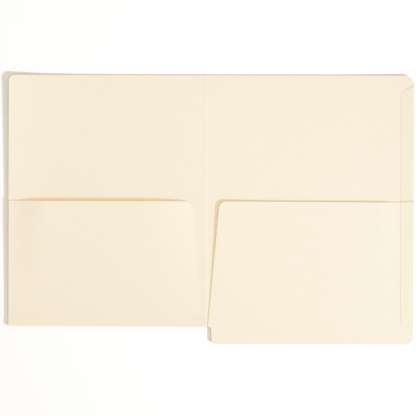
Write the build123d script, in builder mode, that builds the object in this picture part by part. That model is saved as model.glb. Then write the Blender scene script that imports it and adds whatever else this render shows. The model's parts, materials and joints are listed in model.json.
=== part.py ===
from build123d import *
import math
import os

# An end-tab folder of manila board lying open, with a pocket folded up inside each cover.
# Millimetres. X runs across the spread, Y from the end tab to the top edge, Z up from the table.
# The origin is on the table under the middle of the spread. The front cover is on the left.

# Board, glue and creases
board = 0.36
glue_film = 0.1
glue_margin = 2.0
crease_bore = 0.1

# Covers, with their widths taken from the middle of the spine
front_width = 228.6
back_width = 241.3
cover_height = 291.5
front_corner_radius = 7.0
back_corner_radius = 11.6

# Spine strip between the two score lines, crowned towards the inside
spine_width = 4.76
spine_crown = 0.4
score_gap = 0.2

# End tab along the foot of the back cover
end_tab_depth = 19.65
end_tab_inset = 7.2
end_tab_inner_radius = 4.1
end_tab_outer_radius = 8.7
end_tab_root_radius = 3.6

# Pockets, with their insets taken from the middle of the spine
pocket_height = 145.5
pocket_mouth_inset = 16.3
pocket_foot_inset = 3.2
pocket_corner_radius = 8.5
corner_gap = 0.2
front_mouth_lift = 1.5
back_mouth_lift = 1.2

# Glue flap of the front pocket, folded in under its outer edge
flap_width = 19.0
flap_taper = 8.0
flap_setback = 1.0

# Side tab folded over from the back cover's outer edge
side_tab_width = 15.5
side_tab_setback = 12.3
side_tab_foot_overlap = 1.1
side_tab_top_taper = 7.0
side_tab_foot_taper = 2.9
side_tab_corner_radius = 5.8
joggle_gap = 0.3
joggle_length = 1.6

# Heights of the plies above the table
back_pocket_z = board + glue_film
side_tab_low_z = board + glue_film
side_tab_high_z = back_pocket_z + board + glue_film
flap_z = board + glue_film
front_pocket_z = flap_z + board + crease_bore

# Outer radii of the rolled folds, each half as high as the plies that it joins
end_tab_fold_radius = (back_pocket_z + board) / 2
side_tab_low_radius = (side_tab_low_z + board) / 2
side_tab_high_radius = (side_tab_high_z + board) / 2
front_fold_radius = (front_pocket_z + board) / 2
flap_fold_radius = (front_pocket_z + board - flap_z) / 2

# Places across the spread
right_x = (front_width + back_width) / 2
left_x = -right_x
spine_x = left_x + front_width
front_score_x = spine_x - spine_width / 2
back_score_x = spine_x + spine_width / 2
score_clear = board / 2 + score_gap
front_edge_x = front_score_x - score_clear
back_edge_x = back_score_x + score_clear
tab_x = spine_x + end_tab_inset
side_edge_x = right_x - side_tab_high_radius
side_inner_x = right_x - side_tab_width
flap_edge_x = left_x + flap_fold_radius
flap_inner_x = flap_edge_x + flap_width

# Places along the spread
top_y = (cover_height + end_tab_depth) / 2
base_y = top_y - cover_height
foot_y = -top_y
mouth_y = base_y + pocket_height
tab_edge_y = foot_y + end_tab_fold_radius
front_foot_y = base_y + front_fold_radius
flap_foot_y = front_foot_y + flap_setback
flap_top_y = mouth_y - flap_setback
side_top_y = top_y - side_tab_setback
side_foot_y = base_y - side_tab_foot_overlap
joggle_foot_y = mouth_y + joggle_gap
joggle_top_y = joggle_foot_y + joggle_length

# The root of the end tab is as round as the short edge beside it allows
root_radius = min(end_tab_root_radius, 0.9 * (end_tab_inset - pocket_foot_inset))

# Each pocket's free corner bends on the line from its outer top corner to its inner foot
front_hinge_z = front_pocket_z + board / 2
front_hinge_top = Vector(flap_edge_x + corner_gap, mouth_y, front_hinge_z)
front_hinge_foot = Vector(spine_x - pocket_foot_inset, front_foot_y + corner_gap, front_hinge_z)
front_corner = Vector(spine_x - pocket_mouth_inset, mouth_y, front_hinge_z)
back_hinge_z = back_pocket_z + board / 2
back_hinge_top = Vector(side_inner_x - corner_gap, mouth_y, back_hinge_z)
back_hinge_foot = Vector(spine_x + pocket_foot_inset, base_y, back_hinge_z)
back_corner = Vector(spine_x + pocket_mouth_inset, mouth_y, back_hinge_z)


def round_corner(sketch, x, y, radius):
    """Rounds the corner of a sketch that is nearest to a place."""
    fillet(sketch.vertices().sort_by_distance((x, y))[0], radius)


def fold_section(centre, outward, along, radius):
    """Half ring of one board's thickness, round the edge of the plies that a fold joins."""
    inner = radius - board
    with BuildSketch(Plane(origin=centre, x_dir=outward, z_dir=along)) as section:
        with BuildLine():
            CenterArc((0, 0), radius, -90, 180)
            Line((0, radius), (0, inner))
            CenterArc((0, 0), inner, -90, 180)
            Line((0, -inner), (0, -radius))
        make_face()
    return section.sketch


def glue_patch(height, low_x, high_x, low_y, high_y):
    """Rectangle of glue between two plies, at the height of the lower one's face."""
    with BuildSketch(Plane.XY.offset(height)) as patch:
        with BuildLine():
            Polyline((low_x, low_y), (high_x, low_y), (high_x, high_y), (low_x, high_y), close=True)
        make_face()
    return patch.sketch


def bend_plane(start, end):
    """Level plane on a pocket's bend line, with x along the line and y towards the free corner."""
    return Plane(origin=start, x_dir=end - start, z_dir=(0, 0, 1))


def fixed_edge(plane):
    """Upright plane that cuts a pocket back from the rounded edge of its free corner."""
    bend_line = Plane(origin=plane.origin, x_dir=plane.x_dir, z_dir=plane.y_dir)
    return bend_line.offset(-board / 2 - corner_gap)


def raised_plane(plane, corner, lift):
    """Plane of a free corner whose tip stands a lift above the rest of its pocket."""
    tilt = math.asin(lift / plane.to_local_coords(corner).Y)
    normal = plane.z_dir * math.cos(tilt) - plane.y_dir * math.sin(tilt)
    return Plane(origin=plane.origin, x_dir=plane.x_dir, z_dir=normal)


def corner_outline(raised, length, tip):
    """Three-sided free corner of a pocket, with its bend line along x and its tip rounded."""
    with BuildSketch(raised) as outline:
        with BuildLine():
            Polyline((0, 0), (length, 0), (tip.X, tip.Y), close=True)
        make_face()
        round_corner(outline, tip.X, tip.Y, pocket_corner_radius)
    return outline.sketch


def corner_edge(raised):
    """Half round that ends a free corner on its bend line."""
    with BuildSketch(Plane(origin=raised.origin, x_dir=-raised.y_dir, z_dir=raised.x_dir)) as edge:
        with BuildLine():
            CenterArc((0, 0), board / 2, -90, 180)
            Line((0, board / 2), (0, -board / 2))
        make_face()
    return edge.sketch


front_mouth = bend_plane(front_hinge_top, front_hinge_foot)
front_raised = raised_plane(front_mouth, front_corner, front_mouth_lift)
front_bend_length = (front_hinge_foot - front_hinge_top).length
back_mouth = bend_plane(back_hinge_foot, back_hinge_top)
back_raised = raised_plane(back_mouth, back_corner, back_mouth_lift)
back_bend_length = (back_hinge_foot - back_hinge_top).length

# Back cover, with the end tab along its foot
with BuildPart() as back_cover:
    with BuildSketch(Plane.XY) as back_outline:
        with BuildLine():
            Polyline(
                (back_edge_x, top_y),
                (back_edge_x, base_y),
                (tab_x, base_y),
                (tab_x, tab_edge_y),
                (side_edge_x, tab_edge_y),
                (side_edge_x, top_y),
                close=True,
            )
        make_face()
        round_corner(back_outline, tab_x, base_y, root_radius)
        round_corner(back_outline, tab_x, tab_edge_y, end_tab_inner_radius)
        round_corner(back_outline, side_edge_x, tab_edge_y, end_tab_outer_radius)
        round_corner(back_outline, side_edge_x, top_y, back_corner_radius)
    extrude(amount=board)
back_cover.part.label = "back_cover"

# Front cover
with BuildPart() as front_cover:
    with BuildSketch(Plane.XY) as front_outline:
        with BuildLine():
            Polyline(
                (left_x, top_y),
                (left_x, front_foot_y),
                (front_edge_x, front_foot_y),
                (front_edge_x, top_y),
                close=True,
            )
        make_face()
        round_corner(front_outline, left_x, top_y, front_corner_radius)
    extrude(amount=board)
front_cover.part.label = "front_cover"

# Spine strip, with its long edges rounded on the two score lines
with BuildPart() as spine_strip:
    with BuildSketch(Plane(origin=(spine_x, top_y, board / 2), x_dir=(1, 0, 0), z_dir=(0, -1, 0))):
        with BuildLine():
            ThreePointArc((-spine_width / 2, 0), (0, spine_crown), (spine_width / 2, 0))
            offset(amount=board / 2)
        make_face()
    extrude(amount=cover_height)
spine_strip.part.label = "spine_strip"

# Front pocket, on the front cover
with BuildPart() as front_pocket:
    with BuildSketch(Plane.XY.offset(front_pocket_z)):
        with BuildLine():
            Polyline(
                (flap_edge_x, mouth_y),
                (flap_edge_x, front_foot_y),
                (front_hinge_foot.X, front_foot_y),
                (front_corner.X, mouth_y),
                close=True,
            )
        make_face()
    extrude(amount=board)
    split(bisect_by=fixed_edge(front_mouth), keep=Keep.BOTTOM)
front_pocket.part.label = "front_pocket"

with BuildPart() as front_pocket_corner:
    front_tip = front_mouth.to_local_coords(front_corner)
    extrude(corner_outline(front_raised, front_bend_length, front_tip), amount=board / 2, both=True)
    extrude(corner_edge(front_raised), amount=front_bend_length)
front_pocket_corner.part.label = "front_pocket_corner"

# Rolled fold where the front cover turns up into its pocket
with BuildPart() as front_pocket_fold:
    fold_start = (left_x, front_foot_y, front_fold_radius)
    section = fold_section(fold_start, (0, -1, 0), (1, 0, 0), front_fold_radius)
    extrude(section, amount=front_hinge_foot.X - left_x)
front_pocket_fold.part.label = "front_pocket_fold"

# Glue flap turned in under the front pocket's outer edge, with its fold and its glue
with BuildPart() as front_pocket_flap:
    with BuildSketch(Plane.XY.offset(flap_z)):
        with BuildLine():
            Polyline(
                (flap_edge_x, flap_foot_y),
                (flap_inner_x, flap_foot_y + flap_taper),
                (flap_inner_x, flap_top_y - flap_taper),
                (flap_edge_x, flap_top_y),
                close=True,
            )
        make_face()
    extrude(amount=board)
front_pocket_flap.part.label = "front_pocket_flap"

with BuildPart() as front_flap_fold:
    fold_start = (flap_edge_x, flap_foot_y, flap_z + flap_fold_radius)
    section = fold_section(fold_start, (-1, 0, 0), (0, 1, 0), flap_fold_radius)
    extrude(section, amount=flap_top_y - flap_foot_y)
front_flap_fold.part.label = "front_flap_fold"

with BuildPart() as front_flap_glue:
    patch = glue_patch(
        board,
        flap_edge_x + glue_margin,
        flap_inner_x - glue_margin,
        flap_foot_y + flap_taper + glue_margin,
        flap_top_y - flap_taper - glue_margin,
    )
    extrude(patch, amount=glue_film)
front_flap_glue.part.label = "front_flap_glue"

# Back pocket, in one piece with the end tab's inner ply
with BuildPart() as back_pocket:
    with BuildSketch(Plane.XY.offset(back_pocket_z)) as pocket_outline:
        with BuildLine():
            Polyline(
                (back_hinge_foot.X, base_y),
                (tab_x, base_y),
                (tab_x, tab_edge_y),
                (side_edge_x, tab_edge_y),
                (side_edge_x, mouth_y),
                (back_corner.X, mouth_y),
                close=True,
            )
        make_face()
        round_corner(pocket_outline, tab_x, base_y, root_radius)
        round_corner(pocket_outline, tab_x, tab_edge_y, end_tab_inner_radius)
        round_corner(pocket_outline, side_edge_x, tab_edge_y, end_tab_outer_radius)
    extrude(amount=board)
    split(bisect_by=fixed_edge(back_mouth), keep=Keep.BOTTOM)
back_pocket.part.label = "back_pocket"

with BuildPart() as back_pocket_corner:
    back_tip = back_mouth.to_local_coords(back_corner)
    extrude(corner_outline(back_raised, back_bend_length, back_tip), amount=board / 2, both=True)
    extrude(corner_edge(back_raised), amount=back_bend_length)
back_pocket_corner.part.label = "back_pocket_corner"

# Rolled fold along the foot of the end tab, and the glue between the tab's two plies
with BuildPart() as end_tab_fold:
    fold_start_x = tab_x + end_tab_inner_radius
    fold_end_x = side_edge_x - end_tab_outer_radius
    fold_start = (fold_start_x, tab_edge_y, end_tab_fold_radius)
    section = fold_section(fold_start, (0, -1, 0), (1, 0, 0), end_tab_fold_radius)
    extrude(section, amount=fold_end_x - fold_start_x)
end_tab_fold.part.label = "end_tab_fold"

with BuildPart() as end_tab_glue:
    glue_right_x = side_edge_x - glue_margin
    glue_foot_y = tab_edge_y + glue_margin
    with BuildSketch(Plane.XY.offset(board)) as tab_glue_outline:
        with BuildLine():
            Polyline(
                (tab_x + glue_margin, base_y - glue_margin),
                (tab_x + glue_margin, glue_foot_y),
                (glue_right_x, glue_foot_y),
                (glue_right_x, base_y - glue_margin),
                close=True,
            )
        make_face()
        round_corner(tab_glue_outline, tab_x + glue_margin, glue_foot_y, end_tab_inner_radius - glue_margin)
        round_corner(tab_glue_outline, glue_right_x, glue_foot_y, end_tab_outer_radius - glue_margin)
    extrude(amount=glue_film)
end_tab_glue.part.label = "end_tab_glue"

# Side tab, which steps up from the back cover on to the back pocket
with BuildPart() as side_tab:
    with BuildSketch(Plane.YZ.offset(side_inner_x)):
        with BuildLine():
            Polyline(
                (side_top_y, side_tab_low_z),
                (joggle_top_y, side_tab_low_z),
                (joggle_foot_y, side_tab_high_z),
                (side_foot_y, side_tab_high_z),
                (side_foot_y, side_tab_high_z + board),
                (joggle_foot_y, side_tab_high_z + board),
                (joggle_top_y, side_tab_low_z + board),
                (side_top_y, side_tab_low_z + board),
                close=True,
            )
        make_face()
    extrude(amount=side_edge_x - side_inner_x)
    with BuildSketch(Plane.XY) as side_outline:
        with BuildLine():
            Polyline(
                (side_edge_x, side_top_y),
                (side_inner_x, side_top_y - side_tab_top_taper),
                (side_inner_x, side_foot_y + side_tab_foot_taper),
                (side_edge_x, side_foot_y),
                close=True,
            )
        make_face()
        round_corner(side_outline, side_inner_x, side_top_y - side_tab_top_taper, side_tab_corner_radius)
        round_corner(side_outline, side_inner_x, side_foot_y + side_tab_foot_taper, side_tab_corner_radius)
    extrude(amount=2 * side_tab_high_radius, mode=Mode.INTERSECT)
side_tab.part.label = "side_tab"

# Rolled fold along the back cover's outer edge, wider where it also takes in the pocket
with BuildPart() as side_tab_fold:
    stations = (
        (side_top_y, side_tab_low_radius),
        (joggle_top_y, side_tab_low_radius),
        (joggle_foot_y, side_tab_high_radius),
        (side_foot_y, side_tab_high_radius),
    )
    sections = [fold_section((side_edge_x, y, r), (1, 0, 0), (0, -1, 0), r) for y, r in stations]
    loft(sections, ruled=True)
side_tab_fold.part.label = "side_tab_fold"

# Glue under the side tab, on the back cover and on the back pocket
with BuildPart() as side_tab_glue:
    patch = glue_patch(
        board,
        side_inner_x + glue_margin,
        side_edge_x - glue_margin,
        joggle_top_y + glue_margin,
        side_top_y - side_tab_top_taper - glue_margin,
    )
    extrude(patch, amount=glue_film)
side_tab_glue.part.label = "side_tab_glue"

with BuildPart() as pocket_seam_glue:
    patch = glue_patch(
        back_pocket_z + board,
        side_inner_x + glue_margin,
        side_edge_x - glue_margin,
        side_foot_y + side_tab_foot_taper + glue_margin,
        mouth_y - glue_margin,
    )
    extrude(patch, amount=glue_film)
pocket_seam_glue.part.label = "pocket_seam_glue"

pieces = [
    back_cover,
    back_pocket,
    back_pocket_corner,
    end_tab_fold,
    end_tab_glue,
    side_tab,
    side_tab_fold,
    side_tab_glue,
    pocket_seam_glue,
    spine_strip,
    front_cover,
    front_pocket,
    front_pocket_corner,
    front_pocket_fold,
    front_pocket_flap,
    front_flap_fold,
    front_flap_glue,
]
os.makedirs("parts", exist_ok=True)
for piece in pieces:
    export_step(piece.part, f"parts/{piece.part.label}.step")
print(len(pieces), "pieces")
print("front pocket bends from", front_hinge_top, "to", front_hinge_foot)
print("back pocket bends from", back_hinge_foot, "to", back_hinge_top)
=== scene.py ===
# %% [markdown]
# # A manila folder with a pocket inside each cover
#
# The folder lies open on a pale table. It is one kind of board all over, cut flat, scored, folded
# and glued, so this lesson makes it the same way: each panel is cut as a flat blank, short node
# trees fold and bow the blank by a rule, and the last step gives it the thickness of the board.
# The CAD model is loaded first. It fixes every size and place, and it says which body each piece
# moves with.

import json
import math

import bpy
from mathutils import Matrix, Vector


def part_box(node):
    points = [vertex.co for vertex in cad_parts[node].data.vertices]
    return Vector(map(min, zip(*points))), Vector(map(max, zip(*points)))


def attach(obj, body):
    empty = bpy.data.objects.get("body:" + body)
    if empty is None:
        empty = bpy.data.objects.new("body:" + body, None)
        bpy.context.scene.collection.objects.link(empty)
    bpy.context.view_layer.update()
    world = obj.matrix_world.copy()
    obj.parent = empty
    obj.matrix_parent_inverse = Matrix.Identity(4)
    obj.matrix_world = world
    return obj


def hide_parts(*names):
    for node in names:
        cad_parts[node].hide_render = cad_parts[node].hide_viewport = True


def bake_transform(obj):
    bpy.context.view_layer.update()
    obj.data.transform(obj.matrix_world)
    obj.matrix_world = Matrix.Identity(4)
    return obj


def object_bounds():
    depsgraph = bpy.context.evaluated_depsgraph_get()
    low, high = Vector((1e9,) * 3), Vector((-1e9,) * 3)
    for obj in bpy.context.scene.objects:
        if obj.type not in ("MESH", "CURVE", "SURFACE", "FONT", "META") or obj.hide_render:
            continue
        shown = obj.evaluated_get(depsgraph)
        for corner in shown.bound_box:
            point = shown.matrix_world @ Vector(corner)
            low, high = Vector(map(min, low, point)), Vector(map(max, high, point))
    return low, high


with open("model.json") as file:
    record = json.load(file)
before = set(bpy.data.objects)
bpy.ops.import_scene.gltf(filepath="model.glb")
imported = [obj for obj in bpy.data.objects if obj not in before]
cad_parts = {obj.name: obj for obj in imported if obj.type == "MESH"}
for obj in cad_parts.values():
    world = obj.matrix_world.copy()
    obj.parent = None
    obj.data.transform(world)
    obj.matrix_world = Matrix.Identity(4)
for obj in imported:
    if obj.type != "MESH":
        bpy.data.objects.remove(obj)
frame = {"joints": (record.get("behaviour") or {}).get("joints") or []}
cad_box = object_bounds()
joints = {joint["name"]: joint for joint in frame["joints"]}

# %% [markdown]
# ## Places
#
# Sizes could be measured in the photograph again, but the CAD model already has them. So places and
# widths are read from its joints and from the boxes of its nodes, and each piece lands where its
# solid is. What a box can't say, such as a corner radius, comes in millimetres with its piece.

# %% Places that several pieces share
MM = 0.001

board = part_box("front_cover")[1].z
left_x, right_x = cad_box[0].x, cad_box[1].x
foot_y, top_y = cad_box[0].y, cad_box[1].y
base_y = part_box("spine_strip")[0].y
mouth_y = joints["back_pocket_opening"]["pos_m"][1]
front_score_x = joints["front_score_fold"]["pos_m"][0]
back_score_x = joints["back_score_fold"]["pos_m"][0]
spine_x = (front_score_x + back_score_x) / 2
print("board is", round(board / MM, 2), "mm thick")
print("the open folder is", round((right_x - left_x) / MM, 1), "mm wide")

# %% [markdown]
# ## Camera
#
# The photograph looks down with a long lens. The camera stands a little to the right of the middle,
# so it is tipped, and the folder is turned a little clockwise in it. The frame is as wide as the
# folder plus a narrow margin, so the focal length follows from the camera's distance.

# %% Camera
camera_distance = 2.0
frame_width = 481.8 * MM
aim_x, aim_y = -3.5 * MM, 2.0 * MM
folder_turn = math.radians(0.2)
camera_tip = math.radians(1.15)

lens = bpy.data.cameras.new("camera")
lens.lens = lens.sensor_width * camera_distance / frame_width
camera = bpy.data.objects.new("camera", lens)
camera.location = (aim_x + camera_distance * math.sin(camera_tip), aim_y,
                   camera_distance * math.cos(camera_tip))
camera.rotation_euler = (0, camera_tip, folder_turn)
bpy.context.scene.collection.objects.link(camera)
bpy.context.scene.camera = camera
print("focal length", round(lens.lens, 1), "mm")

# %% [markdown]
# ## Nodes in a few words
#
# Materials and rules are both made of nodes. A few helpers keep the code short: one gives a socket
# a link or a value, and the others add a node, mix two colours, stretch a value from one range to
# another, and do one step of arithmetic.

# %% Node helpers
MIX_SHARE, MIX_FIRST, MIX_SECOND = 0, 6, 7
MIX_COLOUR = 2


def set_socket(tree, socket, value):
    """Gives a socket a link or a plain value."""
    if isinstance(value, bpy.types.NodeSocket):
        tree.links.new(value, socket)
    else:
        socket.default_value = value


def add_node(tree, kind, **sockets):
    """A node of a kind, with links or values for its named sockets."""
    node = tree.nodes.new(kind)
    for name, value in sockets.items():
        set_socket(tree, node.inputs[name.replace("_", " ")], value)
    return node


def mix_colours(tree, share, first, second):
    """A colour between two colours, by a share."""
    node = tree.nodes.new("ShaderNodeMix")
    node.data_type = "RGBA"
    for index, value in ((MIX_SHARE, share), (MIX_FIRST, first), (MIX_SECOND, second)):
        set_socket(tree, node.inputs[index], value)
    return node.outputs[MIX_COLOUR]


def ramp(tree, value, low, high, to_low=0.0, to_high=1.0, kind="LINEAR"):
    """A value that goes from to_low at low to to_high at high, and stays level beyond."""
    node = add_node(tree, "ShaderNodeMapRange", Value=value, From_Min=low, From_Max=high,
                    To_Min=to_low, To_Max=to_high)
    node.interpolation_type = kind
    return node.outputs[0]


def maths(tree, operation, *values):
    """One step of arithmetic on links or numbers."""
    node = tree.nodes.new("ShaderNodeMath")
    node.operation = operation
    for socket, value in zip(node.inputs, values):
        set_socket(tree, socket, value)
    return node.outputs[0]


print("node helpers are ready")


# %% [markdown]
# ## Manila board
#
# Manila is a buff board of soft wood pulp. From a step away it is plain, but near to it has three
# kinds of detail: faint clouds where the pulp is thicker, short pale and dark fibres, and a dry,
# toothed surface. A scanned picture could give them, but it would repeat over a sheet this wide.
# Noise textures on object coordinates make all three at their real scale, and need no unwrapping.

# %% Start and end of a material
def start_material(name):
    """An empty material and its node tree."""
    material = bpy.data.materials.new(name)
    material.use_nodes = True
    material.node_tree.nodes.clear()
    return material, material.node_tree


def object_place(tree):
    """Where a point lies in object coordinates, which the patterns read."""
    return tree.nodes.new("ShaderNodeTexCoord").outputs["Object"]


def end_material(tree, **sockets):
    """Ends a material in one shader, with links or values for its named sockets."""
    surface = add_node(tree, "ShaderNodeBsdfPrincipled", **sockets)
    add_node(tree, "ShaderNodeOutputMaterial", Surface=surface.outputs[0])


print("material helpers are ready")

# %% [markdown]
# A fibre is a spot of noise drawn out in one direction. Real ones lie every way, so each kind of
# fibre is laid in two directions, and the stronger of the two shows.

# %% Fibres
PALE_FIBRE = (3.6 * MM, 0.4 * MM, 0.8 * MM)
PALE_FIBRE_TURNS = (35.0, 118.0)
DARK_FIBRE = (3.0 * MM, 0.36 * MM, 0.8 * MM)
DARK_FIBRE_TURNS = (-22.0, 71.0)
FIBRE_DETAIL = 2.0
FIBRE_CURL = 1.2


def fibre_pattern(tree, place, size, turns):
    """Noise drawn out into fibres of a length, width and depth, that lie in several directions."""
    pattern = None
    for turn in turns:
        laid = add_node(tree, "ShaderNodeMapping", Vector=place, Scale=size)
        laid.vector_type = "TEXTURE"
        laid.inputs["Rotation"].default_value = (0.0, 0.0, math.radians(turn))
        noise = add_node(tree, "ShaderNodeTexNoise", Vector=laid.outputs[0], Scale=1.0,
                         Detail=FIBRE_DETAIL, Distortion=FIBRE_CURL).outputs[0]
        pattern = maths(tree, "MAXIMUM", pattern, noise) if pattern else noise
    return pattern


print("fibres are", round(DARK_FIBRE[0] / MM, 1), "to", round(PALE_FIBRE[0] / MM, 1), "mm long")

# %% [markdown]
# The colour is laid on in four layers, each by the share that its pattern gives. The same grain and
# fibres raise the surface and vary its roughness. The shine is set close to nothing, because even a
# little would wash the buff out to white when a low camera looks towards the light. Cut edges and
# rolled folds get a darker make of the same board with a deeper tooth. Its darker colour is partly
# soil from handling and partly painted shade, which keeps these steep faces from glaring under the
# low light.

# %% Manila material
CLOUD_SCALE, CLOUD_ROUGHNESS = 45.0, 0.5
GRAIN_SCALE, GRAIN_ROUGHNESS = 1500.0, 0.7
PULP_DETAIL = 3.0
PALE_FIBRE_COLOUR = (0.95, 0.9, 0.79, 1.0)
DARK_FIBRE_COLOUR = (0.45, 0.32, 0.18, 1.0)
# Where a pattern starts and ends, and what it gives there
CLOUD_SHARE = (0.3, 0.7, 0.2, 0.6)
GRAIN_SHARE = (0.35, 0.7, 0.0, 0.9)
PALE_FIBRE_SHARE = (0.62, 0.75, 0.0, 0.5)
DARK_FIBRE_SHARE = (0.7, 0.82, 0.0, 0.25)
BOARD_ROUGHNESS = (0.3, 0.7, 0.66, 0.8)
BOARD_SHINE = 0.02
FIBRE_RELIEF = 0.5


def make_manila(name, pale, buff, tooth):
    """Manila board between two colours, with fibres, and a tooth of a depth in metres."""
    material, tree = start_material(name)
    place = object_place(tree)
    clouds = add_node(tree, "ShaderNodeTexNoise", Vector=place, Scale=CLOUD_SCALE,
                      Detail=PULP_DETAIL, Roughness=CLOUD_ROUGHNESS).outputs[0]
    grain = add_node(tree, "ShaderNodeTexNoise", Vector=place, Scale=GRAIN_SCALE,
                     Detail=PULP_DETAIL, Roughness=GRAIN_ROUGHNESS).outputs[0]
    pale_fibres = fibre_pattern(tree, place, PALE_FIBRE, PALE_FIBRE_TURNS)
    dark_fibres = fibre_pattern(tree, place, DARK_FIBRE, DARK_FIBRE_TURNS)

    colour = pale
    for pattern, share, layer in ((clouds, CLOUD_SHARE, buff), (grain, GRAIN_SHARE, buff),
                                  (pale_fibres, PALE_FIBRE_SHARE, PALE_FIBRE_COLOUR),
                                  (dark_fibres, DARK_FIBRE_SHARE, DARK_FIBRE_COLOUR)):
        colour = mix_colours(tree, ramp(tree, pattern, *share), colour, layer)

    relief = maths(tree, "MULTIPLY_ADD", pale_fibres, FIBRE_RELIEF, grain)
    bump = add_node(tree, "ShaderNodeBump", Strength=1.0, Distance=tooth, Height=relief)
    end_material(tree, Base_Color=colour, Roughness=ramp(tree, grain, *BOARD_ROUGHNESS),
                 Normal=bump.outputs[0], Specular_IOR_Level=BOARD_SHINE)
    return material


# %% Board, and its edge of wear and painted shade
BOARD_PALE, BOARD_BUFF = (0.867, 0.783, 0.65, 1.0), (0.837, 0.748, 0.605, 1.0)
BOARD_TOOTH = 0.006 * MM
# Edge colours: partly soil from handling, partly painted shade that tones down the steep faces under
# the low light
WORN_SHADED_EDGE_PALE, WORN_SHADED_EDGE_BUFF = (0.75, 0.61, 0.44, 1.0), (0.65, 0.52, 0.36, 1.0)
EDGE_TOOTH = 0.03 * MM

manila = make_manila("manila_board", BOARD_PALE, BOARD_BUFF, BOARD_TOOTH)
worn_shaded_edge = make_manila("manila_cut_edge", WORN_SHADED_EDGE_PALE, WORN_SHADED_EDGE_BUFF, EDGE_TOOTH)
print("made", manila.name, "and", worn_shaded_edge.name, "of", len(manila.node_tree.nodes), "nodes each")

# %% [markdown]
# ## Dried glue
#
# The glue never shows on a whole folder. It is a thin milky film between two plies, with a soft
# shine and small pits where the paper's fibres pulled it. A plain white would do while it is hidden,
# but the part may be taken apart, so cells make its pits and noise makes its streaks.

# %% Glue material
GLUE_PALE, GLUE_DARK = (0.82, 0.79, 0.7, 1.0), (0.74, 0.68, 0.54, 1.0)
PIT_SCALE, PIT_DEPTH, PIT_STRENGTH = 700.0, 0.02 * MM, 0.4
STREAK_SCALE, STREAK_DETAIL = 160.0, 3.0
STREAK_SHARE = (0.35, 0.65)
GLUE_ROUGHNESS = (0.3, 0.7, 0.35, 0.5)


def make_glue():
    """Dried white glue, milky, with pits."""
    material, tree = start_material("dried_glue")
    place = object_place(tree)
    pits = add_node(tree, "ShaderNodeTexVoronoi", Vector=place, Scale=PIT_SCALE)
    streaks = add_node(tree, "ShaderNodeTexNoise", Vector=place, Scale=STREAK_SCALE,
                       Detail=STREAK_DETAIL).outputs[0]
    colour = mix_colours(tree, ramp(tree, streaks, *STREAK_SHARE), GLUE_PALE, GLUE_DARK)
    bump = add_node(tree, "ShaderNodeBump", Strength=PIT_STRENGTH, Distance=PIT_DEPTH,
                    Height=pits.outputs["Distance"])
    end_material(tree, Base_Color=colour, Roughness=ramp(tree, streaks, *GLUE_ROUGHNESS),
                 Normal=bump.outputs[0])
    return material


glue = make_glue()
print("made", glue.name)

# %% [markdown]
# ## Cutting a blank
#
# A die cuts each panel out of flat board. Here the outline is a list of corners, each with its
# radius, and a round corner becomes an arc. A curve object could round the corners too, but the
# next step needs plain points that it can cut.

# %% Outline
ARC_STEPS = 10
SAME_POINT = 0.001 * MM


def rounded_outline(corners):
    """Points of a closed outline, from corners of (x, y, radius)."""
    points = []
    for index, (x, y, radius) in enumerate(corners):
        corner = Vector((x, y))
        if radius == 0:
            points.append(corner)
            continue
        before = (Vector(corners[index - 1][:2]) - corner).normalized()
        after = (Vector(corners[(index + 1) % len(corners)][:2]) - corner).normalized()
        half_angle = before.angle(after) / 2
        centre = corner + (before + after).normalized() * radius / math.sin(half_angle)
        start = corner + before * radius / math.tan(half_angle) - centre
        end = corner + after * radius / math.tan(half_angle) - centre
        for step in range(ARC_STEPS + 1):
            points.append(centre + start.slerp(end, step / ARC_STEPS) * radius)
    return [tuple(p) for i, p in enumerate(points) if (p - points[i - 1]).length > SAME_POINT]


print("a round corner has", ARC_STEPS + 1, "points")

# %% [markdown]
# A face with only an outline can't bend. A subdivision surface would round the outline off, so the
# face is cut along straight lines across and along the sheet instead. That gives even squares
# inside, keeps the true outline, and lets a crease have its lines closer together.

# %% Cuts
SHEET_STEP = 5.0 * MM
LINE_GAP = 0.05 * MM
LEAST_AREA = 1e-3 * MM ** 2


def even_lines(low, high, step):
    """Evenly spaced places from low to high, with both ends."""
    count = max(1, round(abs(high - low) / step))
    return [low + (high - low) * i / count for i in range(count + 1)]


def cutting_lines(points, axis, close_lines):
    """Even lines across an outline's axis, with closer ones where they are given."""
    low, high = min(p[axis] for p in points), max(p[axis] for p in points)
    even = even_lines(low, high, SHEET_STEP)
    clear = [e for e in even if all(abs(e - c) > LINE_GAP for c in close_lines)]
    return sorted(clear + list(close_lines))


def cut_at(points, axis, place, side):
    """The part of an outline that lies on one side, 1 or -1, of a straight line across an axis."""
    kept = []
    for index, point in enumerate(points):
        before = points[index - 1]
        gone_before = (before[axis] - place) * side < 0
        gone = (point[axis] - place) * side < 0
        if gone_before != gone:
            share = (place - before[axis]) / (point[axis] - before[axis])
            kept.append(tuple(b + (p - b) * share for b, p in zip(before, point)))
        if not gone:
            kept.append(point)
    return kept


def flat_area(points):
    """Area inside an outline, which is negative if it runs clockwise."""
    return sum(points[i - 1][0] * y - points[i - 1][1] * x for i, (x, y) in enumerate(points)) / 2


def cut_along(points, axis, lines):
    """The parts of an outline between lines across an axis."""
    parts = [cut_at(cut_at(points, axis, a, 1), axis, b, -1) for a, b in zip(lines, lines[1:])]
    return [part for part in parts if abs(flat_area(part)) > LEAST_AREA]


print("the squares of a sheet are about", round(SHEET_STEP / MM), "mm wide")

# %% [markdown]
# The squares become faces of one mesh. A corner that several squares share is one point, which is
# found again by its rounded place.

# %% Blank
PLACES = 8


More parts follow.
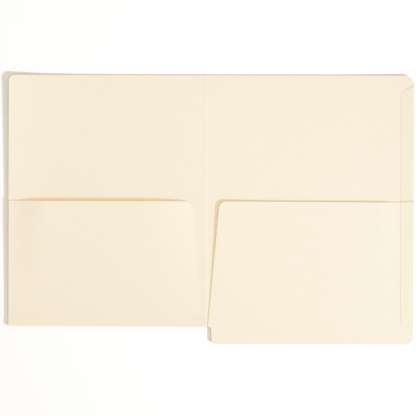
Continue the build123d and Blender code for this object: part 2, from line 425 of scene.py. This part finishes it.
def cut_blank(name, corners, height, close_x=(), close_y=()):
    """A flat blank at a height, cut into squares, and along closer lines across x and y."""
    ids, faces = {}, []
    outline = rounded_outline(corners)
    lines_x, lines_y = cutting_lines(outline, 0, close_x), cutting_lines(outline, 1, close_y)
    for strip in cut_along(outline, 0, lines_x):
        for cell in cut_along(strip, 1, lines_y):
            keys = [(round(x, PLACES), round(y, PLACES)) for x, y in cell]
            turns = [key for i, key in enumerate(keys) if key != keys[i - 1]]
            faces.append([ids.setdefault(key, len(ids)) for key in turns])
    mesh = bpy.data.meshes.new(name)
    mesh.from_pydata([(x, y, height) for x, y in ids], [], faces)
    blank = bpy.data.objects.new(name, mesh)
    bpy.context.scene.collection.objects.link(blank)
    print("cut", name, "into", len(faces), "squares")
    return blank


# %% [markdown]
# ## Rules as node trees
#
# Four short trees shape the blanks. Each has named inputs for its sizes, so one tree serves every
# panel: the spine's crown, the raised mouth of a pocket, a fold, and the bow of a whole cover.
# Moving the points in Python would do the same, but a tree can be opened and its sizes turned by
# hand. Two helpers start a tree, and end it by moving the points and setting the material.

# %% Tree helpers
def start_tree(name, sizes):
    """A node tree with its sizes by name, and where a point lies in x and y."""
    tree = bpy.data.node_groups.new(name, "GeometryNodeTree")
    tree.interface.new_socket("Geometry", in_out="INPUT", socket_type="NodeSocketGeometry")
    tree.interface.new_socket("Geometry", in_out="OUTPUT", socket_type="NodeSocketGeometry")
    for size in sizes:
        tree.interface.new_socket(size, in_out="INPUT", socket_type="NodeSocketFloat")
    tree.interface.new_socket("Face", in_out="INPUT", socket_type="NodeSocketMaterial")
    entry = tree.nodes.new("NodeGroupInput")
    position = tree.nodes.new("GeometryNodeInputPosition").outputs[0]
    place = add_node(tree, "ShaderNodeSeparateXYZ", Vector=position)
    return tree, entry.outputs, place.outputs["X"], place.outputs["Y"]


def end_tree(tree, size, x=0.0, y=0.0, z=0.0):
    """Moves every point by three distances, and gives one whole shape with its material."""
    offset = add_node(tree, "ShaderNodeCombineXYZ", X=x, Y=y, Z=z).outputs[0]
    moved = add_node(tree, "GeometryNodeSetPosition", Geometry=size["Geometry"], Offset=offset)
    whole = add_node(tree, "GeometryNodeRealizeInstances", Geometry=moved.outputs[0])
    faced = add_node(tree, "GeometryNodeSetMaterial", Geometry=whole.outputs[0],
                     Material=size["Face"])
    tree.links.new(faced.outputs[0], tree.nodes.new("NodeGroupOutput").inputs["Geometry"])
    print("made rule", tree.name, "of", len(tree.nodes), "nodes")
    return tree


# %% [markdown]
# The spine lies between two score lines and stands up in a low arch. A separate strip would show a
# seam at each score, so the arch is a rule on the covers' own board. Its height falls off with the
# square of the distance from the middle, and is nothing beyond the score lines.

# %% Crown tree
def make_crown_tree():
    """Raises the strip between two score lines into an arch."""
    tree, size, x, _ = start_tree("spine_crown", ("Spine X", "Half Width", "Crown"))
    off_middle = maths(tree, "DIVIDE", maths(tree, "SUBTRACT", x, size["Spine X"]),
                       size["Half Width"])
    fall = maths(tree, "SUBTRACT", 1.0, maths(tree, "MULTIPLY", off_middle, off_middle))
    rise = maths(tree, "MULTIPLY", size["Crown"], maths(tree, "MAXIMUM", fall, 0.0))
    return end_tree(tree, size, z=rise)


crown_tree = make_crown_tree()

# %% [markdown]
# A pocket is held at its foot and at its outer edge, and its mouth stands a little open. So the
# panel rises from the foot to the mouth, and from the held edge inwards over a short run. Near its
# free edge, which slants from the tip of the mouth down to the foot of the spine, it rises on or
# falls by a share, and may sag by a depth. The held edge may be pressed down too. A cloth
# simulation could find such a curve, but stiff board follows a plain rule, and its sizes can be
# fitted to the shadows in the photograph.

# %% Mouth tree
MOUTH_POWER = 1.6
SINK_START = 0.12


def make_mouth_tree():
    """Raises a panel from its foot and held edge towards its mouth, and shapes its free edge."""
    sizes = ("Held X", "Level X", "Held Press", "Tip X", "Foot Tip X", "Edge Run", "Edge Share",
             "Edge Sag", "Foot Y", "Mouth Y", "Rise")
    tree, size, x, y = start_tree("pocket_mouth", sizes)
    up = ramp(tree, y, size["Foot Y"], size["Mouth Y"])
    inward = ramp(tree, x, size["Held X"], size["Level X"], kind="SMOOTHSTEP")
    edge_x = ramp(tree, up, 0.0, 1.0, size["Foot Tip X"], size["Tip X"])
    off_edge = maths(tree, "ABSOLUTE", maths(tree, "SUBTRACT", x, edge_x))
    near = ramp(tree, off_edge, 0.0, size["Edge Run"], 1.0, 0.0)
    fall = maths(tree, "MULTIPLY", near, near)
    share = maths(tree, "MULTIPLY_ADD", fall, maths(tree, "SUBTRACT", size["Edge Share"], 1.0), 1.0)
    open_share = maths(tree, "MULTIPLY", maths(tree, "POWER", up, MOUTH_POWER),
                       maths(tree, "MULTIPLY", inward, share))
    rise = maths(tree, "MULTIPLY", open_share, size["Rise"])
    press = maths(tree, "MULTIPLY", maths(tree, "SUBTRACT", 1.0, inward), size["Held Press"])
    sunk = maths(tree, "MULTIPLY_ADD", fall, size["Edge Sag"], press)
    off_foot = ramp(tree, up, 0.0, SINK_START, kind="SMOOTHSTEP")
    lift = maths(tree, "SUBTRACT", rise, maths(tree, "MULTIPLY", sunk, off_foot))
    return end_tree(tree, size, z=lift)


mouth_tree = make_mouth_tree()

# %% [markdown]
# A fold could be a separate half tube, but then the sheet would break along it. Here folding is a
# rule on how far a point lies past the fold line. Up to half a turn the point goes round the fold's
# radius, and beyond that it runs back the other way, one layer lower. The side tab's fold has two
# radii, because it also climbs a step, so the radius is a ramp along the fold.

# %% Fold tree
def make_fold_tree():
    """Turns what lies past a line under the sheet. The line is at a distance along a direction."""
    sizes = ("Turn X", "Turn Y", "Line", "Radius", "Far Radius", "Step From Y", "Step To Y")
    tree, size, x, y = start_tree("fold_over", sizes)
    forward = maths(tree, "ADD", maths(tree, "MULTIPLY", x, size["Turn X"]),
                    maths(tree, "MULTIPLY", y, size["Turn Y"]))
    past = maths(tree, "MAXIMUM", maths(tree, "SUBTRACT", forward, size["Line"]), 0.0)
    radius = ramp(tree, y, size["Step From Y"], size["Step To Y"],
                  size["Radius"], size["Far Radius"], "SMOOTHSTEP")
    angle = maths(tree, "MINIMUM", maths(tree, "DIVIDE", past, radius), math.pi)
    round_fold = maths(tree, "MULTIPLY", radius, maths(tree, "SINE", angle))
    half_turn = maths(tree, "MULTIPLY", radius, math.pi)
    beyond = maths(tree, "MAXIMUM", maths(tree, "SUBTRACT", past, half_turn), 0.0)
    along = maths(tree, "SUBTRACT", maths(tree, "SUBTRACT", round_fold, beyond), past)
    cosine_drop = maths(tree, "SUBTRACT", maths(tree, "COSINE", angle), 1.0)
    turn_drop = maths(tree, "MULTIPLY", radius, cosine_drop)
    step_drop = maths(tree, "MULTIPLY", maths(tree, "SUBTRACT", radius, size["Radius"]), 2.0)
    move_x = maths(tree, "MULTIPLY", along, size["Turn X"])
    move_y = maths(tree, "MULTIPLY", along, size["Turn Y"])
    return end_tree(tree, size, move_x, move_y, maths(tree, "ADD", turn_drop, step_drop))


fold_tree = make_fold_tree()

# %% [markdown]
# Board is never quite flat. Each cover curls up near its outer edge, most at the top corner, and
# the top edge and the foot of the spine stand clear of the table. Every piece on a cover takes the
# same bow, so that what lies on the cover stays seated on it. A lattice could bend them all, but
# this rule works on each piece alone and comes last on it.

# %% Bow tree
CURL_POWER = 6.0
RISE_POWER = 3.0


def make_bow_tree():
    """Curls a cover up at its outer edge, and lifts its top edge and the foot of the spine."""
    sizes = ("Spine X", "Outer X", "Foot Y", "Top Y", "Foot Curl", "Top Curl", "Spine Lift",
             "Top Lift")
    tree, size, x, y = start_tree("cover_bow", sizes)
    out = ramp(tree, x, size["Spine X"], size["Outer X"])
    up = ramp(tree, y, size["Foot Y"], size["Top Y"])
    edge_lift = ramp(tree, up, 0.0, 1.0, size["Foot Curl"], size["Top Curl"])
    curl = maths(tree, "MULTIPLY", maths(tree, "POWER", out, CURL_POWER), edge_lift)
    near = maths(tree, "MULTIPLY", maths(tree, "SUBTRACT", 1.0, out),
                 maths(tree, "SUBTRACT", 1.0, up))
    arch = maths(tree, "MULTIPLY", maths(tree, "MULTIPLY", near, near), size["Spine Lift"])
    rise = maths(tree, "MULTIPLY", maths(tree, "POWER", up, RISE_POWER), size["Top Lift"])
    lift = maths(tree, "ADD", maths(tree, "ADD", curl, arch), rise)
    return end_tree(tree, size, z=lift)


bow_tree = make_bow_tree()

# %% [markdown]
# ## Using a tree
#
# A modifier's inputs are set by each socket's identifier before the piece is first evaluated. The
# bow of each cover is kept as a set of sizes, fitted to the shadows along the folder's edges in the
# photograph.

# %% Rules and bows
def add_rule(piece, tree, face=manila, **sizes):
    """Puts a node tree on a piece, with its sizes by name and its material."""
    rule = piece.modifiers.new(tree.name, "NODES")
    rule.node_group = tree
    values = dict(sizes, Face=face)
    for socket in tree.interface.items_tree:
        key = socket.name.replace(" ", "_")
        if socket.in_out == "INPUT" and key in values:
            rule[socket.identifier] = values[key]


SHARED_BOW = dict(Spine_X=spine_x, Foot_Y=base_y, Top_Y=top_y, Spine_Lift=0.95 * MM, Top_Lift=0.4 * MM)
FRONT_BOW = dict(SHARED_BOW, Outer_X=left_x, Foot_Curl=0.7 * MM, Top_Curl=2.2 * MM)
BACK_BOW = dict(SHARED_BOW, Outer_X=right_x, Foot_Curl=0.1 * MM, Top_Curl=0.8 * MM)
for cover, bow in (("front", FRONT_BOW), ("back", BACK_BOW)):
    print("the", cover, "cover curls up by", round(bow["Top_Curl"] / MM, 1), "mm at its top corner")

# %% [markdown]
# When a blank has all its rules, Solidify gives it the board's thickness about its middle layer,
# and the result is kept as a plain mesh. Its steep faces, which are the cut rims and the rolled
# folds, get the darker edge material: soil from handling plus painted shade on these steep faces.

# %% Finishing a piece
SHARP_ANGLE = math.radians(40)
EDGE_SLOPE = 0.7


def finish_sheet(piece, bow, thickness, face=manila, rim=worn_shaded_edge):
    """Bows a piece with its cover, gives it a thickness and keeps it as a plain mesh."""
    flat = piece.data
    flat.materials.append(face)
    flat.materials.append(rim)
    add_rule(piece, bow_tree, face, **bow)
    wall = piece.modifiers.new("thickness", "SOLIDIFY")
    wall.thickness = thickness
    wall.offset = 0.0
    wall.use_even_offset = True
    depsgraph = bpy.context.evaluated_depsgraph_get()
    mesh = bpy.data.meshes.new_from_object(piece.evaluated_get(depsgraph), depsgraph=depsgraph)
    piece.modifiers.clear()
    piece.data = mesh
    bpy.data.meshes.remove(flat)
    mesh.name = piece.name
    for polygon in mesh.polygons:
        polygon.use_smooth = True
        # Steep faces take the second material, darker as wear and as painted shade
        polygon.material_index = 1 if abs(polygon.normal.z) < EDGE_SLOPE else 0
    mesh.set_sharp_from_angle(angle=SHARP_ANGLE)
    heights = [round(vertex.co.z / MM, 2) for vertex in mesh.vertices]
    print("finished", piece.name, "from", min(heights), "to", max(heights), "mm high")


print("faces steeper than", round(math.degrees(math.acos(EDGE_SLOPE))), "degrees count as edges")

# %% [markdown]
# ## Covers
#
# Each cover carries half of the spine, so the board runs over its score line without a break. The
# two halves meet along the top of the spine's arch. A hinge between two stiff plates would be
# simpler, but it would open a gap that board doesn't have.

# %% Scores
SCORE_BAND = 0.7 * MM
SCORE_STEP = 0.14 * MM
SPINE_STEP = 0.34 * MM
spine_half = (back_score_x - front_score_x) / 2
spine_crown = 0.05 * MM


def score_lines(score_x):
    """Close lines for the spine's half arch and for the band that turns at a score."""
    band = even_lines(score_x - SCORE_BAND, score_x + SCORE_BAND, SCORE_STEP)
    return band + even_lines(spine_x, score_x, SPINE_STEP)[1:-1]


def bend_at_score(piece):
    """Bakes a cover's place into its points."""
    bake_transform(piece)


print("the spine is", round(2 * spine_half / MM, 2), "mm wide between its scores")

# %% [markdown]
# The front cover ends at its foot where the board starts to roll up into the pocket. A rolled fold
# is half a turn of the board, so the radius of its middle layer is half the distance between the
# two layers that it joins. Beside the spine, where there is no fold, the cover runs on to the foot.

# %% Front cover
def middle_height(node):
    """Height of the middle of a flat piece."""
    low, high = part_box(node)
    return (low.z + high.z) / 2


front_corner_radius = 7.0 * MM
pocket_foot_inset = 3.2 * MM
cover_height = middle_height("front_cover")
front_pocket_height = middle_height("front_pocket")
front_fold_radius = (front_pocket_height - cover_height) / 2
front_foot_y = base_y + front_fold_radius + board / 2
front_fold_end_x = spine_x - pocket_foot_inset

front_cover = cut_blank("front_cover_board", [
    (spine_x, top_y, 0),
    (left_x, top_y, front_corner_radius),
    (left_x, front_foot_y, 0),
    (front_fold_end_x, front_foot_y, 0),
    (front_fold_end_x, base_y, 0),
    (spine_x, base_y, 0),
], cover_height, close_x=score_lines(front_score_x))
add_rule(front_cover, crown_tree, Spine_X=spine_x, Half_Width=spine_half, Crown=spine_crown)
finish_sheet(front_cover, FRONT_BOW, board)
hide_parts("front_cover", "spine_strip")
bend_at_score(front_cover)

# %% [markdown]
# The back cover is longer than the front one by the end tab. The tab starts a little way off the
# spine, with a small hollow curve at its root. It is one sheet with the cover, so it is only more
# corners in the same outline.

# %% Back cover
back_corner_radius = 11.6 * MM
end_tab_root_radius = 3.6 * MM
end_tab_inner_radius = 4.1 * MM
end_tab_outer_radius = 8.7 * MM
tab_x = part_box("end_tab_fold")[0].x - end_tab_inner_radius
tab_edge_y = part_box("end_tab_fold")[1].y
side_edge_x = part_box("side_tab")[1].x

back_cover = cut_blank("back_cover_board", [
    (spine_x, top_y, 0),
    (spine_x, base_y, 0),
    (tab_x, base_y, end_tab_root_radius),
    (tab_x, tab_edge_y, end_tab_inner_radius),
    (side_edge_x, tab_edge_y, end_tab_outer_radius),
    (side_edge_x, top_y, back_corner_radius),
], cover_height, close_x=score_lines(back_score_x))
add_rule(back_cover, crown_tree, Spine_X=spine_x, Half_Width=spine_half, Crown=spine_crown)
finish_sheet(back_cover, BACK_BOW, board)
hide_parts("back_cover")
bend_at_score(back_cover)

# %% [markdown]
# ## Pockets
#
# The front pocket's blank has three parts: the panel, a strip below it that rolls down to the
# cover's foot, and a flap on its outer edge that turns under and is glued to the cover. Three
# separate pieces would need seams, so the blank is whole, as the real one is.

# %% Folds of a pocket
FOLD_STEPS = 12
FOLD_SUPPORT = 0.2 * MM
TO_LEFT, TO_FOOT = (-1.0, 0.0), (0.0, -1.0)


def fold_lines(line, turn):
    """Close lines across the half turn of a fold, and one before it that keeps the panel flat."""
    support = line - math.copysign(FOLD_SUPPORT, turn)
    return [support] + even_lines(line, line + turn, abs(turn) / FOLD_STEPS)


def roll_edge(piece, direction, line, radius):
    """Rolls an edge under, past a line at a distance along a direction, with one radius."""
    add_rule(piece, fold_tree, Turn_X=direction[0], Turn_Y=direction[1], Line=line, Radius=radius,
             Far_Radius=radius, Step_From_Y=foot_y, Step_To_Y=top_y)


print("a rolled fold has", FOLD_STEPS, "steps")

# %% Front pocket blank
pocket_corner_radius = 8.5 * MM
pocket_mouth_inset = 16.3 * MM
flap_taper = 8.0 * MM
flap_edge_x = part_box("front_pocket_flap")[0].x
flap_inner_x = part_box("front_pocket_flap")[1].x
flap_foot_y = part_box("front_pocket_flap")[0].y
flap_top_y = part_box("front_pocket_flap")[1].y
flap_fold_radius = (front_pocket_height - middle_height("front_pocket_flap")) / 2
flap_turn = math.pi * flap_fold_radius
flap_end_x = flap_edge_x - flap_turn - (flap_inner_x - flap_edge_x)
front_tip_x = spine_x - pocket_mouth_inset
front_turn = math.pi * front_fold_radius

front_pocket = cut_blank("front_pocket_board", [
    (front_tip_x, mouth_y, pocket_corner_radius),
    (flap_edge_x, mouth_y, 0),
    (flap_edge_x, flap_top_y, 0),
    (flap_edge_x - flap_turn, flap_top_y, 0),
    (flap_end_x, flap_top_y - flap_taper, 0),
    (flap_end_x, flap_foot_y + flap_taper, 0),
    (flap_edge_x - flap_turn, flap_foot_y, 0),
    (flap_edge_x, flap_foot_y, 0),
    (flap_edge_x, front_foot_y - front_turn, 0),
    (front_fold_end_x, front_foot_y - front_turn, 0),
    (front_fold_end_x, front_foot_y, 0),
], front_pocket_height, fold_lines(flap_edge_x, -flap_turn), fold_lines(front_foot_y, -front_turn))

# %% [markdown]
# The mouth is raised first, while the blank is flat, so the flap stays down. Then come the two
# folds. The mouth bulges most in the middle of its width, and its free edge sags back to the cover.

# %% Front pocket
front_mouth_rise = 1.45 * MM
front_mouth_run = 42.0 * MM
front_held_press = 0.3 * MM
front_edge_run = 55.0 * MM
front_edge_share = 0.0
front_edge_sag = 0.44 * MM

add_rule(front_pocket, mouth_tree, Held_X=flap_edge_x, Level_X=flap_edge_x + front_mouth_run,
         Held_Press=front_held_press, Tip_X=front_tip_x, Foot_Tip_X=front_fold_end_x,
         Edge_Run=front_edge_run, Edge_Share=front_edge_share, Edge_Sag=front_edge_sag,
         Foot_Y=front_foot_y, Mouth_Y=mouth_y, Rise=front_mouth_rise)
roll_edge(front_pocket, TO_LEFT, -flap_edge_x, flap_fold_radius)
roll_edge(front_pocket, TO_FOOT, -front_foot_y, front_fold_radius)
finish_sheet(front_pocket, FRONT_BOW, board)
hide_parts("front_pocket", "front_pocket_corner", "front_pocket_fold", "front_pocket_flap",
            "front_flap_fold")

# %% [markdown]
# A pocket opens by its free corner, on the line between the pocket's outer top corner and its inner
# foot. The CAD model has two plates with a hinge there, but here the panel stays one sheet, and
# only its place is baked into its points.


def bend_at_mouth(piece):
    """Bakes a pocket's place into its points."""
    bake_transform(piece)


bend_at_mouth(front_pocket)

# %% [markdown]
# The back pocket runs on over the end tab as its inner ply, and rolls round the tab's foot between
# the two round corners. Its outer edge lies under the side tab. The end tab could be one thick
# plate, but two plies and a rolled foot show from below and from the side that it is folded.

# %% Back pocket blank
back_mouth_slant = 0.7 * MM
side_inner_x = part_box("side_tab")[0].x
back_tip_x = spine_x + pocket_mouth_inset
back_hinge_foot_x = spine_x + pocket_foot_inset
end_fold_low_x, end_fold_high_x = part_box("end_tab_fold")[0].x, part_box("end_tab_fold")[1].x
back_pocket_height = middle_height("back_pocket")
end_tab_fold_radius = (back_pocket_height - cover_height) / 2
end_turn = math.pi * end_tab_fold_radius

back_pocket = cut_blank("back_pocket_board", [
    (back_tip_x, mouth_y, pocket_corner_radius),
    (back_hinge_foot_x, base_y, 0),
    (tab_x, base_y, end_tab_root_radius),
    (tab_x, tab_edge_y, end_tab_inner_radius),
    (end_fold_low_x, tab_edge_y, 0),
    (end_fold_low_x, tab_edge_y - end_turn, 0),
    (end_fold_high_x, tab_edge_y - end_turn, 0),
    (end_fold_high_x, tab_edge_y, 0),
    (side_edge_x, tab_edge_y, end_tab_outer_radius),
    (side_edge_x, mouth_y - back_mouth_slant, 0),
], back_pocket_height, close_y=fold_lines(tab_edge_y, -end_turn))

# %% [markdown]
# Its mouth stands less open than the front one's, and rises on towards its free edge instead of
# sagging there. So the same rule takes a share above one, and no sag.

# %% Back pocket
back_mouth_rise = 0.75 * MM
back_mouth_run = 26.0 * MM
back_edge_run = 70.0 * MM
back_edge_share = 1.7

add_rule(back_pocket, mouth_tree, Held_X=side_inner_x, Level_X=side_inner_x - back_mouth_run,
         Held_Press=0.0, Tip_X=back_tip_x, Foot_Tip_X=back_hinge_foot_x, Edge_Run=back_edge_run,
         Edge_Share=back_edge_share, Edge_Sag=0.0, Foot_Y=base_y, Mouth_Y=mouth_y,
         Rise=back_mouth_rise)
roll_edge(back_pocket, TO_FOOT, -tab_edge_y, end_tab_fold_radius)
finish_sheet(back_pocket, BACK_BOW, board)
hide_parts("back_pocket", "back_pocket_corner", "end_tab_fold")
bend_at_mouth(back_pocket)

# %% [markdown]
# ## Side tab
#
# The back cover's outer edge is turned over as a strip. It lies on the cover above the pocket's
# mouth, and steps up on to the pocket below it, so the fold's radius grows there too. The blank
# gets close lines across the step, and its turned part is wider where the radius is larger.

# %% Side tab blank
JOGGLE_STEP = 0.12 * MM
joggle_gap = 0.05 * MM
joggle_length = 1.0 * MM
side_top_taper = 7.0 * MM
side_foot_taper = 2.9 * MM
side_tab_corner_radius = 5.8 * MM
joggle_foot_y = mouth_y + joggle_gap
joggle_top_y = joggle_foot_y + joggle_length
side_foot_y, side_top_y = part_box("side_tab")[0].y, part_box("side_tab")[1].y
side_tab_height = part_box("side_tab")[1].z - board / 2
side_tab_low_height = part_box("side_tab")[0].z + board / 2
side_fold_radius = (side_tab_height - cover_height) / 2
side_fold_low_radius = (side_tab_low_height - cover_height) / 2
side_turn = math.pi * side_fold_radius
side_low_turn = math.pi * side_fold_low_radius

side_tab = cut_blank("side_tab_board", [
    (side_edge_x, side_foot_y, 0),
    (side_edge_x + side_turn, side_foot_y, 0),
    (side_edge_x + side_turn, joggle_foot_y, 0),
    (side_edge_x + side_low_turn, joggle_top_y, 0),
    (side_edge_x + side_low_turn, side_top_y, 0),
    (side_edge_x, side_top_y, 0),
    (side_inner_x, side_top_y - side_top_taper, side_tab_corner_radius),
    (side_inner_x, side_foot_y + side_foot_taper, side_tab_corner_radius),
], side_tab_height, fold_lines(side_edge_x, side_turn),
    even_lines(joggle_foot_y, joggle_top_y, JOGGLE_STEP))

# %% [markdown]
# The press that glued the strip down sank its inner edge most of the way into the plies below. The
# mouth rule does that too: it is fully open all along, its free edge is set far away, and its rise
# goes down.

# %% Side tab
side_tab_press = 0.28 * MM

add_rule(side_tab, mouth_tree, Held_X=side_edge_x, Level_X=side_inner_x, Held_Press=0.0,
         Tip_X=left_x, Foot_Tip_X=left_x, Edge_Run=board, Edge_Share=1.0, Edge_Sag=0.0,
         Foot_Y=foot_y - board, Mouth_Y=foot_y, Rise=-side_tab_press)
add_rule(side_tab, fold_tree, Turn_X=1.0, Turn_Y=0.0, Line=side_edge_x, Radius=side_fold_radius,
         Far_Radius=side_fold_low_radius, Step_From_Y=joggle_foot_y, Step_To_Y=joggle_top_y)
finish_sheet(side_tab, BACK_BOW, board)
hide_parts("side_tab", "side_tab_fold")
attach(side_tab, "back")

# %% [markdown]
# ## Glue films
#
# Four films hold the plies together. They could keep their CAD solids, but those are flat, and the
# covers are bowed. So each film is cut to the box of its CAD node and bowed with its cover, and it
# stays between its two plies.

# %% Glue films
FILM_CORNER_RADIUS = 2.0 * MM
FILMS = (("front_flap_glue", "front", FRONT_BOW), ("end_tab_glue", "back", BACK_BOW),
         ("side_tab_glue", "back", BACK_BOW), ("pocket_seam_glue", "back", BACK_BOW))

for node, body, bow in FILMS:
    low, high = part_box(node)
    film = cut_blank(node + "_film", [
        (low.x, low.y, FILM_CORNER_RADIUS),
        (high.x, low.y, FILM_CORNER_RADIUS),
        (high.x, high.y, FILM_CORNER_RADIUS),
        (low.x, high.y, FILM_CORNER_RADIUS),
    ], middle_height(node))
    finish_sheet(film, bow, high.z - low.z, glue, glue)
    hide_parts(node)
    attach(film, body)

# %% [markdown]
# ## Table and light
#
# The table is plain and white. It lies a hair below the folder, so the two never share a surface.

# %% Table
TABLE_COLOUR = (0.93, 0.93, 0.93, 1.0)
TABLE_ROUGHNESS = 0.9
TABLE_SHINE = 0.1
TABLE_HALF = 4.0
TABLE_DROP = 0.02 * MM

table_white, table_tree = start_material("white_table")
end_material(table_tree, Base_Color=TABLE_COLOUR, Roughness=TABLE_ROUGHNESS,
             Specular_IOR_Level=TABLE_SHINE)
table_corners = [(x * TABLE_HALF, y * TABLE_HALF, -TABLE_DROP)
                 for x, y in ((-1, -1), (1, -1), (1, 1), (-1, 1))]
table_mesh = bpy.data.meshes.new("table")
table_mesh.from_pydata(table_corners, [], [(0, 1, 2, 3)])
table_mesh.materials.append(table_white)
table = bpy.data.objects.new("table", table_mesh)
bpy.context.scene.collection.objects.link(table)
print("the table is", 2 * TABLE_HALF, "m wide")

# %% [markdown]
# One low light from the right draws narrow shadows along the raised edges, and soft light from all
# sides fills them. Thin board lets warm light through, so the shadows of the pockets and the side
# tab on the board are orange, while the folder's shadow on the table is nearly grey. A translucent
# shader could do that, but it is noisy and hard to set for each layer. So four lamps in one place
# stand for the low light, and light linking says which pieces each one lights or passes.

# %% One lamp
KEY_TURN = math.radians(-30)
KEY_HEIGHT = math.radians(17)
KEY_DISTANCE = 5.0
KEY_SIZE = 0.38


def chosen(name, pieces, state):
    """A list of pieces for a lamp, which are all that it counts or all that it leaves out."""
    group = bpy.data.collections.new(name)
    for piece in pieces:
        group.objects.link(piece)
    for member in group.collection_objects:
        member.light_linking.link_state = state
    return group


def add_key(name, colour, energy, aim, spread, lit, stopped_by=None):
    """A low disk of light from the right, which falls off away from the place it is aimed at."""
    light = bpy.data.lights.new(name, "AREA")
    light.shape = "DISK"
    light.size = KEY_SIZE
    light.spread = math.radians(spread)
    light.color = colour
    light.energy = energy
    lamp = bpy.data.objects.new(name, light)
    lamp.location = KEY_DISTANCE * Vector((math.cos(KEY_TURN) * math.cos(KEY_HEIGHT),
                                           math.sin(KEY_TURN) * math.cos(KEY_HEIGHT),
                                           math.sin(KEY_HEIGHT)))
    lamp.rotation_euler = (lamp.location - aim).to_track_quat("Z", "Y").to_euler()
    lamp.light_linking.receiver_collection = lit
    lamp.light_linking.blocker_collection = stopped_by
    bpy.context.scene.collection.objects.link(lamp)


print("the low light stands", round(math.degrees(KEY_HEIGHT)), "degrees above the table")

# %% [markdown]
# The first lamp lights the table only, and the second, a cool one, lights all but the table. Two
# warm ones do so too, and thin pieces don't stop them: both pockets and the side tab let the yellow
# one through, and the front pocket and the side tab let the red one through as well. The warm ones
# are aimed past the folder, so that their light falls off across it.

# %% Low light
TABLE_AIM = Vector((-130.0, 190.0, 0.0)) * MM
COOL_AIM = Vector((80.0, 45.0, 0.0)) * MM
WARM_AIM = Vector((-900.0, 590.0, 0.0)) * MM

only_table = chosen("only_table", (table,), "INCLUDE")
not_table = chosen("all_but_table", (table,), "EXCLUDE")
not_thin = chosen("lets_light_through", (front_pocket, back_pocket, side_tab), "EXCLUDE")
not_front = chosen("lets_more_through", (front_pocket, side_tab), "EXCLUDE")

add_key("table_key", colour=(0.621, 0.801, 1.0), energy=18.3, aim=TABLE_AIM, spread=40, lit=only_table)
add_key("board_key", colour=(0.131, 0.505, 1.0), energy=9.46, aim=COOL_AIM, spread=30, lit=not_table)
add_key("through_key", colour=(1.0, 0.953, 0.327), energy=3.61, aim=WARM_AIM, spread=30,
        lit=not_table, stopped_by=not_thin)
add_key("front_through_key", colour=(1.0, 0.265, 0.0), energy=2.17, aim=WARM_AIM, spread=30,
        lit=not_table, stopped_by=not_front)
print("added", len(bpy.data.lights), "lamps in one place")

# %% [markdown]
# The soft light is an even, slightly warm glow. A ring of large lamps could give it, but a plain
# world colour has no edges that show as stripes on the board.

# %% Soft light
SOFT_COLOUR = (1.0, 0.9, 0.775, 1.0)
SOFT_STRENGTH = 0.813

world = bpy.data.worlds.new("studio")
world.use_nodes = True
background = world.node_tree.nodes["Background"]
background.inputs["Color"].default_value = SOFT_COLOUR
background.inputs["Strength"].default_value = SOFT_STRENGTH
bpy.context.scene.world = world
bpy.context.scene.view_settings.view_transform = "Standard"
print("soft light of strength", SOFT_STRENGTH, "fills from all sides")
